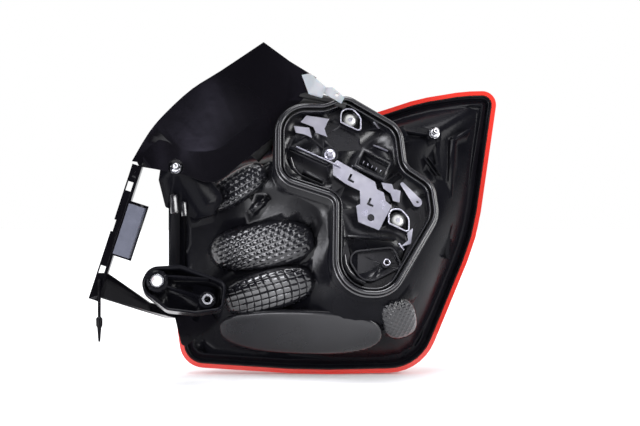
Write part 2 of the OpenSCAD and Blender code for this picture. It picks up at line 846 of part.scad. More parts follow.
housing();
outer_lens();
clear_window();
lens_seal();
inner_bezel();
bulb_carrier();
carrier_gasket();
earth_track();
stop_track();
tail_track();
indicator_track();
reverse_track();
contact_springs();
connector_pins();
release_lever();
tail_bulb_base();
tail_bulb_glass();
stop_bulb_base();
stop_bulb_glass();
indicator_bulb_base();
indicator_bulb_glass();
stud_right();
stud_left();
lower_bush();
eye_sleeve();
gap_panel();
bump_pad();
lock_tail();
clip_bracket();
nylon_clip();
panel_rivets();
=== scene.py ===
# %% [markdown]
# Tail light cluster: looks
#
# The lamp comes from its CAD pack as a fixed frame of nodes with true sizes. This script gives the
# nodes their looks, adds the pieces that are too fine or too soft for the solids, and builds a
# small white studio round them.
#
# Blender and the nodes are in metres. +Z is up, +X is right in the photograph, and the camera
# looks along +Y. Sizes and places of pieces are easier to read in millimetres, so they are named
# in millimetres and divided by MM where Blender takes them over. Finishes, the floor, the cards
# and the lamps are in metres.

import bpy
import json
import math
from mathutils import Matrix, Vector

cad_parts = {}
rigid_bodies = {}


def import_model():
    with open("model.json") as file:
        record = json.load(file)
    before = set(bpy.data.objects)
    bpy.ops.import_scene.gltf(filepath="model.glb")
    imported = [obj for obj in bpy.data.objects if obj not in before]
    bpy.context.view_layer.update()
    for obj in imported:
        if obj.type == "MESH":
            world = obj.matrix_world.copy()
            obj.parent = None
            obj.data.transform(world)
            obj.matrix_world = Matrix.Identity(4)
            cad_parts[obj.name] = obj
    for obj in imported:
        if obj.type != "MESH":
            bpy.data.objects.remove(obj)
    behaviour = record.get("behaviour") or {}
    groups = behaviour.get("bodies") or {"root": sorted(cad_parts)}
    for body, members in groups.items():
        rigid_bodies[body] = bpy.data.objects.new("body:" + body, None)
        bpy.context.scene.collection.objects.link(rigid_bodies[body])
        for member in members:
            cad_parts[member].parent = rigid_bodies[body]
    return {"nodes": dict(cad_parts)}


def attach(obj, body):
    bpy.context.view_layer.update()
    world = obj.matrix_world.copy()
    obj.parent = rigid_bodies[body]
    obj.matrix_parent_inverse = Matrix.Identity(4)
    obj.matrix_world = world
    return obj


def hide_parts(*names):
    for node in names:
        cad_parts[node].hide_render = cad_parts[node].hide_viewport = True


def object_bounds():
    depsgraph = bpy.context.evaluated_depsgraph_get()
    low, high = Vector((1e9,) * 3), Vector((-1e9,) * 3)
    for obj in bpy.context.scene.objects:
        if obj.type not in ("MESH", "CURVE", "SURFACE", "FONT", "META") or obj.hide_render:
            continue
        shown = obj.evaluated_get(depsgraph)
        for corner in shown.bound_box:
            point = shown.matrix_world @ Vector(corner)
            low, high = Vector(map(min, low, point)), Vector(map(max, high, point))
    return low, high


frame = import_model()
cad_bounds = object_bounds()
MM = 1000  # millimetres in a metre
print("nodes", len(frame["nodes"]))

# %% [markdown]
# One body
#
# The whole lamp is one rigid body. Every piece that belongs to it rides on that body, and a piece
# may stand in for a CAD node. An operator acts on all that is selected, so select() leaves one
# object selected and active before operators run.


# %% Select, dress and keep
def select(ob):
    bpy.ops.object.select_all(action="DESELECT")
    ob.select_set(True)
    bpy.context.view_layer.objects.active = ob


def dress(ob, finish):
    ob.data.materials.clear()
    ob.data.materials.append(finish.mat)


def keep(ob, node=None):
    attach(ob, "root")
    if node:
        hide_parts(node)


print("helpers ready")

# %% [markdown]
# Node tools
#
# A material is a tree of nodes. In the shader editor the nodes are added and linked by hand. Here
# short calls do the same, so that a finish can be read as a few lines, and the world can use them
# too.


# %% A tree of nodes
class Nodes:
    """A node tree, with short calls that add, set and link its nodes."""

    def __init__(self, tree):
        self.tree = tree

    def set(self, node, values):
        for key, value in values.items():
            node.inputs[key].default_value = value

    def add(self, kind, values=None, links=None, **fields):
        node = self.tree.nodes.new(kind)
        for key, value in fields.items():
            setattr(node, key, value)
        self.set(node, values or {})
        for key, source in (links or {}).items():
            self.tree.links.new(source, node.inputs[key])
        return node

    def maths(self, operation, first, second, **fields):
        node = self.add("ShaderNodeMath", None, {0: first, 1: second}, operation=operation, **fields)
        return node.outputs[0]

    def remap(self, source, low, high, start, end):
        """Turns the range from start to end into the range from low to high."""
        ends = {"From Min": start, "From Max": end, "To Min": low, "To Max": high}
        return self.add("ShaderNodeMapRange", ends, {"Value": source}).outputs["Result"]

    def shown_rays(self):
        """1 for rays from the camera, from a gloss or through glass, and 0 for all others."""
        rays = self.add("ShaderNodeLightPath").outputs
        direct = self.maths("ADD", rays["Is Camera Ray"], rays["Is Glossy Ray"])
        return self.maths("ADD", direct, rays["Is Transmission Ray"], use_clamp=True)


print("node tools ready")

# %% [markdown]
# A finish
#
# No moulded or plated surface is even. Each finish starts from a Principled shader with a plain
# colour and roughness, and noise then varies the roughness as smudges, the colour as a tint and
# the normal as fine grain. Image textures could do that too, but noise needs no file and has no
# seams. It reads Object coordinates, so the pattern stays with the piece. The bevel node rounds
# sharp edges in the shading only. A painted highlight is more gloss round one chosen place.


# %% The finish class
NOISE_LOW, NOISE_HIGH = 0.3, 0.7  # most of the noise lies between these


class Finish(Nodes):
    """A material with a Principled shader and patterns on Object coordinates."""

    def __init__(self, name, color, roughness, metal=0.0, **values):
        self.mat = bpy.data.materials.new(name)
        self.mat.use_nodes = True
        super().__init__(self.mat.node_tree)
        self.shader = self.tree.nodes["Principled BSDF"]
        self.set(self.shader, {"Base Color": (*color, 1), "Roughness": roughness, "Metallic": metal})
        self.set(self.shader, {key.replace("_", " "): value for key, value in values.items()})
        self.coords = self.add("ShaderNodeTexCoord").outputs["Object"]
        self.normal = None
        self.gloss = None

    def link(self, source, key):
        self.tree.links.new(source, self.shader.inputs[key])

    def noise(self, scale, detail):
        values = {"Scale": scale, "Detail": detail, "Roughness": 0.5}
        return self.add("ShaderNodeTexNoise", values, {"Vector": self.coords}).outputs["Fac"]

    def distance(self, place):
        node = self.add("ShaderNodeVectorMath", {1: place}, {0: self.coords}, operation="DISTANCE")
        return node.outputs["Value"]

    def bend_normal(self, node):
        """Passes the normal so far through a node and gives the result to the shader."""
        if self.normal:
            self.tree.links.new(self.normal, node.inputs["Normal"])
        self.normal = node.outputs["Normal"]
        self.link(self.normal, "Normal")

    def soft_edges(self, radius):
        self.bend_normal(self.add("ShaderNodeBevel", {"Radius": radius}, samples=4))

    def grain(self, scale, height, detail=2):
        values = {"Strength": 1.0, "Distance": height}
        self.bend_normal(self.add("ShaderNodeBump", values, {"Height": self.noise(scale, detail)}))

    def smudges(self, scale, low, high, detail=4):
        self.link(self.remap(self.noise(scale, detail), low, high, NOISE_LOW, NOISE_HIGH), "Roughness")

    def tint(self, scale, dark, light, detail=3):
        ends = {"A": (*dark, 1), "B": (*light, 1)}
        mix = self.add("ShaderNodeMix", ends, {"Factor": self.noise(scale, detail)}, data_type="RGBA")
        self.link(mix.outputs["Result"], "Base Color")

    def painted_highlight(self, place, radius, near, away):
        """Painted highlight: more gloss round a place, which fades to the value away. A second call
        adds a place.
        """
        gloss = self.remap(self.distance(place), near, away, 0, radius)
        if self.gloss:
            gloss = self.maths("MAXIMUM", self.gloss, gloss)
        self.gloss = gloss
        self.link(gloss, "Specular IOR Level")


print("finish class ready")

# %% [markdown]
# Black mouldings
#
# The housing is a glossy black moulding, the gap panel beside it is glossier still, and the
# bulb carrier is satin. Black is seen by what it mirrors. With one gloss all over, either the
# hollows fill with light or the collar looks dull. So the housing and the panel have a high gloss
# only round the places where the photograph has bright reflections, and a low one elsewhere: a
# painted highlight at each such place.

# %% Housing, gap panel and carrier
# Places of the painted highlights on the housing and the panel
COLLAR_LEFT = (-0.139, -0.02, -0.1)
LEFT_POST = (-0.311, 0.0, -0.088)
LOBE_STEP = (-0.211, -0.01, -0.083)
FIN_LEFT = (-0.265, -0.03, -0.002)
BLACK = (0.006, 0.006, 0.008)

black = Finish("black_gloss", BLACK, 0.2, IOR=1.5, Specular_IOR_Level=0.4)
black.soft_edges(0.0008)
black.smudges(scale=14, low=0.14, high=0.34)
# Painted highlights round the collar, the left post and the step between two lobes
black.painted_highlight(COLLAR_LEFT, radius=0.1, near=0.45, away=0.07)
black.painted_highlight(LEFT_POST, radius=0.032, near=1.0, away=0.07)
black.painted_highlight(LOBE_STEP, radius=0.02, near=1.0, away=0.07)
black.tint(scale=30, dark=(0.002, 0.002, 0.003), light=BLACK)
black.grain(scale=260, height=0.00012)

panel = Finish("panel_gloss", (0.004, 0.004, 0.006), 0.12, IOR=1.5, Specular_IOR_Level=0.3)
panel.soft_edges(0.0005)
panel.smudges(scale=9, low=0.07, high=0.2)
# Painted highlight on the left of the fin
panel.painted_highlight(FIN_LEFT, radius=0.075, near=1.0, away=0.08)
panel.tint(scale=12, dark=(0.0015, 0.0015, 0.002), light=(0.004, 0.0035, 0.005))
panel.grain(scale=60, height=0.0001)

carrier = Finish("carrier_satin", BLACK, 0.3, IOR=1.5, Specular_IOR_Level=0.45)
carrier.soft_edges(0.001)
carrier.smudges(scale=25, low=0.18, high=0.36)
carrier.tint(scale=40, dark=(0.003, 0.003, 0.004), light=(0.008, 0.008, 0.011))
carrier.grain(scale=500, height=0.00008)
print("black mouldings ready")

# %% [markdown]
# Lens, bulbs and glass
#
# The red lens shows only as a thin line round the housing, and light from the white floor makes it
# glow. A little transmission and a faint emission give that, and the emission is a painted glow.
# The clear window and the glasses of the bulbs let nearly all light through.

# %% Lens plastic and glass
# The faint red emission is a painted glow, as the lens is no lamp
red = Finish("red_lens", (0.57, 0.032, 0.022), 0.12, IOR=1.49, Transmission_Weight=0.15,
             Emission_Strength=0.05, Emission_Color=(0.9, 0.05, 0.03, 1))
red.smudges(scale=20, low=0.06, high=0.2)
red.grain(scale=90, height=0.00006)

clear = Finish("clear_lens", (0.95, 0.95, 0.97), 0.05, IOR=1.49, Transmission_Weight=0.95)
clear.smudges(scale=20, low=0.02, high=0.12)
clear.grain(scale=90, height=0.00006)

glass = Finish("bulb_glass", (0.97, 0.97, 0.97), 0.03, IOR=1.5, Transmission_Weight=1.0)
glass.smudges(scale=50, low=0.01, high=0.08)

amber = Finish("amber_glass", (0.95, 0.4, 0.04), 0.05, IOR=1.5, Transmission_Weight=0.9)
amber.smudges(scale=50, low=0.02, high=0.1)
print("lens and glass ready")

# %% [markdown]
# Metals
#
# The trim inside the lens is mirror bright. The conductor plates on the carrier are plated sheet
# with cloudy patches, darker and lighter. The bulb bases are a paler, duller metal, so they are
# only partly metallic, and the studs and bushes are turned steel.

# %% Trim, plates, bulb bases and studs
chrome = Finish("bright_trim", (0.8, 0.8, 0.84), 0.12, metal=1.0)
chrome.smudges(scale=18, low=0.06, high=0.22)
chrome.grain(scale=120, height=0.00005)

plated = Finish("plated_sheet", (0.6, 0.59, 0.68), 0.4, metal=1.0)
plated.soft_edges(0.0004)
plated.smudges(scale=60, low=0.24, high=0.5)
plated.tint(scale=30, dark=(0.3, 0.3, 0.38), light=(0.86, 0.85, 0.93))
plated.grain(scale=300, height=0.00008, detail=3)

bulb = Finish("bulb_metal", (0.92, 0.92, 0.9), 0.3, metal=0.35)
bulb.soft_edges(0.0005)
bulb.smudges(scale=80, low=0.2, high=0.42)
bulb.grain(scale=250, height=0.0001)

steel = Finish("stud_steel", (0.7, 0.71, 0.74), 0.2, metal=1.0)
steel.soft_edges(0.0004)
steel.smudges(scale=120, low=0.12, high=0.34)
steel.grain(scale=400, height=0.00006)
print("metals ready")

# %% [markdown]
# Rubber, pad and nylon
#
# The gasket is dull black rubber, the pad on the side bar is slate grey, and the clip at the end
# of the fin is milky nylon. Milky plastic lets light in and scatters it, which a mix of
# transmission and subsurface gives.

# %% Soft and milky finishes
rubber = Finish("black_rubber", (0.008, 0.008, 0.008), 0.6)
rubber.smudges(scale=40, low=0.5, high=0.75)
rubber.grain(scale=500, height=0.0001, detail=3)

slate = Finish("slate_pad", (0.055, 0.06, 0.085), 0.5)
slate.soft_edges(0.0008)
slate.smudges(scale=40, low=0.42, high=0.65)
slate.tint(scale=90, dark=(0.04, 0.044, 0.064), light=(0.075, 0.08, 0.11))
slate.grain(scale=700, height=0.00015, detail=4)

nylon = Finish("milky_nylon", (0.5, 0.5, 0.53), 0.35, Transmission_Weight=0.5, Subsurface_Weight=0.2)
nylon.smudges(scale=50, low=0.28, high=0.5)
nylon.grain(scale=200, height=0.0001)
print("soft finishes ready")

# %% [markdown]
# Smoothed copies of the CAD nodes
#
# A CAD node is a mesh of loose triangles, so each facet would show on a round form. A copy has its
# triangles merged, and faces that meet at less than a chosen angle are shaded as one surface. Each
# node has its own angle, because too large a one draws streaks across flat plates. The copy stands
# in for its node, whose own mesh is left alone.

# %% Smoothed nodes
WELD = 0.00001  # metres within which points are one


def edit(*steps):
    """Runs each step on the whole mesh of the active object."""
    bpy.ops.object.mode_set(mode="EDIT")
    bpy.ops.mesh.select_all(action="SELECT")
    for step in steps:
        step()
    bpy.ops.object.mode_set(mode="OBJECT")


def weld():
    bpy.ops.mesh.remove_doubles(threshold=WELD)


def smooth(angle):
    bpy.ops.object.shade_smooth_by_angle(angle=math.radians(angle))


def polished(node, angle):
    select(frame["nodes"][node])
    bpy.ops.object.duplicate()
    ob = bpy.context.object
    ob.name = node + "_skin"
    ob.data.name = node + "_skin"
    bpy.ops.object.parent_clear(type="CLEAR_KEEP_TRANSFORM")
    bpy.ops.object.transform_apply(location=True, rotation=True, scale=True)
    edit(weld)
    smooth(angle)
    keep(ob, node)
    return ob


# Each node with its slot, finish and smoothing angle in degrees
SMOOTHED = {
    "housing": ("black_moulding", black, 38),
    "outer_lens": ("red_lens", red, 30),
    "bulb_carrier": ("carrier_plastic", carrier, 24),
    "gap_panel": ("gloss_panel", panel, 24),
    "carrier_gasket": ("black_rubber", rubber, 30),
    "lock_tail": ("gloss_panel", panel, 35),
    "stud_right": ("stud_steel", steel, 35),
    "stud_left": ("stud_steel", steel, 35),
    "tail_bulb_base": ("bulb_metal", bulb, 35),
    "stop_bulb_base": ("bulb_metal", bulb, 35),
    "indicator_bulb_base": ("bulb_metal", plated, 35),
}
for node, (slot, finish, angle) in SMOOTHED.items():
    dress(polished(node, angle), finish)
    dress(frame["nodes"][node], finish)
print("smoothed", len(SMOOTHED))

# %% [markdown]
# Plain nodes
#
# Flat plates, small pieces and pieces inside the lamp look right as they are. They only get a
# finish.

# %% Finishes of the plain nodes
PLAIN = {
    "clear_window": clear, "lens_seal": rubber, "inner_bezel": chrome, "earth_track": plated,
    "stop_track": plated, "tail_track": plated, "indicator_track": plated, "reverse_track": plated,
    "contact_springs": plated, "connector_pins": plated, "release_lever": plated,
    "tail_bulb_glass": glass, "stop_bulb_glass": glass, "indicator_bulb_glass": amber,
    "lower_bush": steel, "eye_sleeve": steel, "bump_pad": slate, "clip_bracket": nylon,
    "nylon_clip": nylon, "panel_rivets": panel,
}
for node, finish in PLAIN.items():
    dress(frame["nodes"][node], finish)
print("plain", len(PLAIN))

# %% [markdown]
# Relief of the reflector lobes
#
# The rounded lobes of the housing are the backs of the reflector bowls, and the facets of the
# reflectors show through as a pattern: staggered dashes on the upper and middle lobes, curved
# grooves on the lower one and a fine raised net on the fan at the right. The lowest lobe is plain.
# A bump texture could draw them, but it is flat at the outline and missing in the exported mesh.
# So each pattern is a height in millimetres for a place on the lobe, and the mesh takes it on.

# %% Patterns
GAP_ALONG, GAP_ACROSS = 1.08, 1.12  # more than 1 leaves a gap between dashes
LINE_WIDTH = 0.9


def turned(x, z, degrees):
    """Distances along and across the rows of a pattern that is turned."""
    angle = math.radians(degrees)
    along = x * math.cos(angle) + z * math.sin(angle)
    across = z * math.cos(angle) - x * math.sin(angle)
    return along, across


def dashes(pitch, row, turn, high):
    """Rounded dashes in rows, each row shifted by half a dash."""
    def height(x, z):
        along, across = turned(x, z, turn)
        line = round(across / row)
        along -= (line % 2) * pitch / 2
        length = max(0.0, math.cos(math.pi * (along / pitch - round(along / pitch)) * GAP_ALONG))
        width = max(0.0, math.cos(math.pi * (across / row - line) * GAP_ACROSS))
        return high * math.sqrt(length * width)
    return height


def net(pitch, row, turn, high, curl=0.0):
    """Raised lines that cross, or grooves where high is negative. curl bends the cross lines."""
    def height(x, z):
        along, across = turned(x, z, turn)
        along += curl * across * across
        steps = ((along, pitch), (across, row))
        near = min(abs(way / step - round(way / step)) * step for way, step in steps)
        return high * math.exp(-(near / LINE_WIDTH) ** 2)
    return height


def no_relief(x, z):
    return 0.0


print("patterns ready")

# %% [markdown]
# Skin of a lobe
#
# A lobe is a loaf on a base that slopes. Its skin starts as a square grid, and each point moves to
# its place on the loaf. Where the powers of the two grid coordinates add up to less than 1, the
# point rises with the loaf. The others are drawn in to that outline and sunk into the shell as a
# skirt, so that no gap shows. The formula is that of the solids, and the skin stands just in front.

# %% The lobe function
LOBE_HEIGHT = 22
OUTLINE_POWER = 2.5  # 2 is an ellipse, and more is squarer
PLAN_POWER, RISE_POWER = 0.6, 0.8  # less than 1 makes sides steeper and the top flatter
PROUD = 0.15
SKIRT = 5
FADE = 6  # the relief has its full height from 1/6 inside the outline


def face_outwards():
    bpy.ops.mesh.normals_make_consistent(inside=False)


def loaf(out, share):
    """Height in millimetres, where out is 0 in the middle and 1 at the outline."""
    if out >= 1:
        return -SKIRT
    return LOBE_HEIGHT * share * math.sqrt(1 - out ** (2 / PLAN_POWER)) ** RISE_POWER + PROUD


def lobe_skin(name, relief, cell, finish, middle, half, turn, depth, slope, share):
    bpy.ops.mesh.primitive_grid_add(x_subdivisions=int(2 * half[0] / cell),
                                    y_subdivisions=int(2 * half[1] / cell), size=2)
    ob = bpy.context.object
    ob.name = name
    turn = math.radians(turn)
    for vert in ob.data.vertices:
        powers = abs(vert.co[0]) ** OUTLINE_POWER + abs(vert.co[1]) ** OUTLINE_POWER
        out = powers ** (1 / OUTLINE_POWER)
        u, v = [vert.co[i] * half[i] / max(1.0, out) for i in (0, 1)]
        x = middle[0] + u * math.cos(turn) - v * math.sin(turn)
        z = middle[1] + u * math.sin(turn) + v * math.cos(turn)
        lift = loaf(out, share) + relief(u, v) * min(1.0, max(0.0, (1 - out) * FADE))
        vert.co = Vector((x, depth + slope[0] * u + slope[1] * v - lift, z)) / MM
    select(ob)
    edit(weld, face_outwards)
    # An open skin can end up turned inwards, and its middle face then looks away from the camera
    if ob.data.polygons[len(ob.data.polygons) // 2].normal[1] > 0:
        edit(bpy.ops.mesh.flip_normals)
    bpy.ops.object.shade_smooth()
    dress(ob, finish)
    keep(ob)
    print(name, len(ob.data.polygons), "faces")


print("highest loaf", round(loaf(0, 1), 2), "mm")

# %% [markdown]
# Finishes of the lobes
#
# Light from the left and from above picks out the middle and lower lobes in the photograph, while
# the fan and the bowl stay darker. So the lobes share one finish with different gloss, painted
# light and shade: more on the lit lobes and less on the darker ones.

# %% Gloss of the lobes
# Places of the painted highlights on the lobes
MIDDLE_LOBE_LEFT = (-0.225, -0.03, -0.14)
LOWER_LOBE = (-0.204, -0.03, -0.187)
BOWL_RIGHT = (-0.1, -0.02, -0.235)


def lobe_finish(name, specular, low, high, ior=1.5):
    finish = Finish(name, BLACK, 0.2, IOR=ior, Specular_IOR_Level=specular)
    finish.smudges(scale=20, low=low, high=high)
    finish.tint(scale=30, dark=(0.004, 0.004, 0.005), light=(0.012, 0.012, 0.015))
    finish.grain(scale=240, height=0.0001)
    return finish


# Lit lobes: more gloss, with a painted highlight on the left of the middle lobe
lobe_gloss = lobe_finish("lobe_gloss", 0.8, low=0.1, high=0.2)
lobe_gloss.painted_highlight(MIDDLE_LOBE_LEFT, radius=0.12, near=1.0, away=0.25)
# The lower lobe's higher gloss and IOR paint it brighter, with a painted highlight in its middle
lower_gloss = lobe_finish("lower_gloss", 1.0, low=0.1, high=0.2, ior=1.8)
lower_gloss.painted_highlight(LOWER_LOBE, radius=0.075, near=1.0, away=0.15)
# Darker lobes: less gloss paints the fan and the bowl darker, with a painted highlight on the right of
# the bowl
fan_gloss = lobe_finish("fan_gloss", 0.7, low=0.12, high=0.22)
bowl_gloss = lobe_finish("bowl_gloss", 0.42, low=0.2, high=0.32)
bowl_gloss.painted_highlight(BOWL_RIGHT, radius=0.14, near=0.6, away=0.25)
print("lobe finishes ready")

# %% [markdown]
# The five lobes
#
# The places and sizes of the lobes are those of the solids, except that the skin of the lowest
# lobe, a plain bowl, is a little larger and higher than its solid.

# %% Lobe skins
FINE_CELL, COARSE_CELL = 0.8, 1.6  # between the points of a skin
FAN_CELL = 0.7  # the fan's net is finer, so its cells are this share of the others
cell = FINE_CELL

# Each lobe with the middle of its base, half its length and width, its turn in degrees, the depth
# of the base, its slopes along and across the lobe, and its share of the lobe height
LOBES = {
    "lobe_upper": ((-237, -64), (42, 19), 31, -2, (-0.38, 0.3), 0.85),
    "lobe_middle": ((-207, -134), (65, 29), 9, 2, (-0.36, -0.03), 1),
    "lobe_lower": ((-199, -188), (58, 26), 16, 6, (-0.33, -0.24), 1),
    "lobe_fan": ((-43, -220), (22, 26), 14, -10, (0.3, -0.6), 0.8),
    "lobe_bowl": ((-162, -238), (99, 29), 0, 9, (-0.25, -0.6), 0.6),
}
SKINS = {
    "lobe_upper": (dashes(pitch=8.6, row=7.4, turn=0, high=1.6), cell, lobe_gloss),
    "lobe_middle": (dashes(pitch=9.2, row=6.2, turn=14, high=1.3), cell, lobe_gloss),
    "lobe_lower": (net(pitch=9.4, row=7.4, turn=0, high=-1.1, curl=0.01), cell, lower_gloss),
    "lobe_fan": (net(pitch=4.8, row=4.4, turn=-40, high=1.1), cell * FAN_CELL, fan_gloss),
    "lobe_bowl": (no_relief, COARSE_CELL, bowl_gloss),
}
for name, (relief, size, finish) in SKINS.items():
    lobe_skin(name, relief, size, finish, *LOBES[name])

# %% [markdown]
# Outlines with rounded corners
#
# The collar and the shrouds of the bulbs are outlines of a few corners, each with its radius, as
# in the CAD source. The same corners serve here, so that a bead follows its rim. inset() moves an
# outline in or out, and rounded() turns it into points, with an arc at each corner.

# %% Inset and rounded outlines
LEAST_RADIUS = 0.6
ARC_STEP = 6  # degrees


def arms(corners):
    """Each corner with its directions to the one before and the one after, and its radius."""
    for i, (x, z, radius) in enumerate(corners):
        corner = Vector((x, z))
        before = (Vector(corners[i - 1][:2]) - corner).normalized()
        after = (Vector(corners[(i + 1) % len(corners)][:2]) - corner).normalized()
        yield corner, before, after, radius


def inset(corners, distance):
    """The outline moved inwards, or outwards where the distance is negative."""
    moved = []
    for corner, before, after, radius in arms(corners):
        side = 1 if before[1] * after[0] - before[0] * after[1] > 0 else -1
        shift = (before + after).normalized() * side * distance / math.sin(before.angle(after) / 2)
        moved.append((corner[0] + shift[0], corner[1] + shift[1],
                      max(LEAST_RADIUS, radius - side * distance)))
    return moved


def rounded(corners):
    points = []
    for corner, before, after, radius in arms(corners):
        half = before.angle(after) / 2
        centre = corner + (before + after).normalized() * radius / math.sin(half)
        start = corner + before * radius / math.tan(half) - centre
        end = corner + after * radius / math.tan(half) - centre
        first = math.atan2(start[1], start[0])
        sweep = (math.atan2(end[1], end[0]) - first + 3 * math.pi) % (2 * math.pi) - math.pi
        steps = max(1, round(math.degrees(math.pi - 2 * half) / ARC_STEP))
        for k in range(steps + 1):
            angle = first + sweep * k / steps
            points.append(centre + radius * Vector((math.cos(angle), math.sin(angle))))
    return points


# Corners of the collar on its seat, each with its radius
COLLAR = [(-189, 27, 34), (-190, -62, 24), (-123, -84, 14), (-127, -196, 40), (-62, -198, 34),
          (-5, -106, 34), (-9, -68, 24), (-41, -46, 18), (-45, 0, 28), (-108, 38, 18), (-134, 27, 24)]
# Corners of a D-shaped shroud round the middle of its bulb
SHROUD = [(-12, 13, 9), (-13, -5, 4), (12, -17, 4), (13, 2, 12), (3, 13, 9)]
print("collar outline", len(rounded(COLLAR)), "points")

# %% [markdown]
# Tubes and beads
#
# A moulded or pressed edge is never quite sharp, and its round catches a thin bright line of light.
# A bevel on the node could give it, but the node stays as it is, so a thin round bar runs along the
# edge. A bar is a curve with a round bevel, turned into a mesh. A bead is a closed bar along an
# outline on the seat of the carrier, which leans up and to the side.

# %% Bars along a line
LEAN_UP, LEAN_SIDE = 12, 6  # degrees
BAR_ROUND = 3  # bevel resolution of a bar
BAR_ANGLE = 50  # smoothing angle in degrees


def seat_point(u, depth, v):
    """Place in metres: u along the seat, v up it and depth behind it, or before it if negative."""
    up, side = math.radians(LEAN_UP), math.radians(LEAN_SIDE)
    y = depth * math.cos(up) + v * math.sin(up)
    z = v * math.cos(up) - depth * math.sin(up)
    return Vector((u * math.cos(side) - y * math.sin(side),
                   u * math.sin(side) + y * math.cos(side), z)) / MM


def tube(name, points, radius, finish, closed=False):
    """A round bar through points in metres, with its radius in millimetres."""
    curve = bpy.data.curves.new(name, "CURVE")
    curve.dimensions = "3D"
    curve.bevel_depth = radius / MM
    curve.bevel_resolution = BAR_ROUND
    curve.use_fill_caps = not closed
    spline = curve.splines.new("POLY")
    spline.points.add(len(points) - 1)
    for spline_point, point in zip(spline.points, points):
        spline_point.co = (*point, 1)
    spline.use_cyclic_u = closed
    ob = bpy.data.objects.new(name, curve)
    bpy.context.scene.collection.objects.link(ob)
    select(ob)
    bpy.ops.object.convert(target="MESH")
    ob = bpy.context.object
    edit(face_outwards)
    smooth(BAR_ANGLE)
    dress(ob, finish)
    keep(ob)


def bead(name, corners, depth, radius, finish, slot):
    points = [seat_point(point[0], depth, point[1]) for point in rounded(corners)]
    tube(name, points, radius, finish, closed=True)


print("bars ready")

# %% [markdown]
# Rims of collar, carrier and shrouds
#
# The collar ends in a rounded lip with a step behind it, and the carrier has a lip of its own just
# inside. The bright bulb bases sit in D-shaped shrouds whose edges show a bright line. The lips
# are real rounds, and a glossier black than the housing's paints their highlights brighter. The
# shroud edges are plated beads, a painted highlight along the black edge.

# %% Beads on the rims
TAIL_BULB = (-103, 12)
STOP_BULB = (-50, -109)


def shroud(bulb_place):
    return [(bulb_place[0] + u, bulb_place[1] + v, radius) for u, v, radius in SHROUD]


# The housing's black with more gloss, which paints highlights brighter on rounds and facets
rim_gloss = Finish("rim_gloss", (0.01, 0.01, 0.012), 0.16, IOR=1.5, Specular_IOR_Level=1.0)
rim_gloss.smudges(scale=30, low=0.1, high=0.24)
rim_gloss.grain(scale=200, height=0.00008)

# Each bead with its outline, depth on the seat, radius, finish and slot
BEADS = {
    "collar_lip": (inset(COLLAR, 1.5), -28, 2.3, rim_gloss, "black_moulding"),
    "collar_step": (inset(COLLAR, -1.4), -21.5, 2.2, rim_gloss, "black_moulding"),
    "carrier_lip": (inset(COLLAR, 6.5), -24, 1.2, rim_gloss, "carrier_plastic"),
    # The plated shroud beads paint the highlight on the shroud edges
    "tail_rim": (inset(shroud(TAIL_BULB), 0.9), -22, 0.9, plated, "plated_sheet"),
    "stop_rim": (inset(shroud(STOP_BULB), 0.9), -22, 0.9, plated, "plated_sheet"),
}
for name, details in BEADS.items():
    bead(name, *details)
print("beads", len(BEADS))

# %% [markdown]
# Screw hole of the carrier
#
# One screw holds the carrier. Its boss has a small bright ring at its mouth, and the hole is dark.
# The ring is a closed bar round the hole, and a short black bar ends the hole.

# %% Screw ring and end of the hole
SCREW = (-67, -161)
RING_RADIUS, RING_DEPTH, RING_WIRE, RING_POINTS = 3.4, -30.3, 0.7, 24
HOLE_RADIUS, HOLE_FRONT, HOLE_BACK = 2.5, -3, -1

ring = []
for k in range(RING_POINTS):
    angle = k * math.tau / RING_POINTS
    ring.append(seat_point(SCREW[0] + RING_RADIUS * math.cos(angle), RING_DEPTH,
                           SCREW[1] + RING_RADIUS * math.sin(angle)))
tube("screw_ring", ring, RING_WIRE, plated, closed=True)
hole = [seat_point(SCREW[0], depth, SCREW[1]) for depth in (HOLE_FRONT, HOLE_BACK)]
tube("screw_end", hole, HOLE_RADIUS, rubber)
print("screw hole made")

# %% [markdown]
# From a pixel to a place
#
# A few small pieces can only be placed by where the photograph shows them. place() gives the point
# behind a pixel at a chosen depth. A piece that lies on a surface must not float in front of it, so
# seen() sends a ray from the camera through the pixel and takes the point that it hits.

# %% The measured view
PHOTO_WIDTH = 640
PHOTO_MIDDLE = (320, 213)  # pixel at the middle of the photograph
AXIS = (-136.8, -94.8)  # x and z of that pixel
PIXEL = 1.2  # size of a pixel at depth 0
DISTANCE = 1560  # from the camera to depth 0
EYE = Vector((AXIS[0] / MM, -DISTANCE / MM, AXIS[1] / MM))


def place(px, py, depth):
    """Point in metres that the photograph shows at a pixel, at a depth in millimetres."""
    pixel = PIXEL * (1 + depth / DISTANCE)
    return Vector(((px - PHOTO_MIDDLE[0]) * pixel + AXIS[0], depth,
                   (PHOTO_MIDDLE[1] - py) * pixel + AXIS[1])) / MM


def seen(px, py, lift):
    """Where the camera meets the part at a pixel, lifted towards the camera by millimetres."""
    aim = (place(px, py, 0) - EYE).normalized()
    hit = bpy.context.scene.ray_cast(bpy.context.evaluated_depsgraph_get(), EYE, aim)
    return hit[1] - aim * lift / MM


def routed(name, route, radius, finish, depth=None):
    """A round bar through pixels, at a depth or, without one, on the surface seen there."""
    if depth is None:
        points = [seen(*pixel, radius / 2) for pixel in route]
    else:
        points = [place(*pixel, depth) for pixel in route]
    tube(name, points, radius, finish)
    print(name, "depths", [round(point[1] * MM, 1) for point in points])


print("camera at", EYE)

# %% [markdown]
# Walls of the carrier's pockets
#
# Two pockets of the carrier have a rounded inner wall that shows as a soft bright curve. A thick
# bar along the wall gives that curve.

# %% Pocket walls
POCKET_ROUTE = ((344, 255), (345, 264), (349, 272), (356, 279), (365, 283))
BAY_ROUTE = ((290, 158), (293, 168), (300, 175), (311, 180), (323, 185))
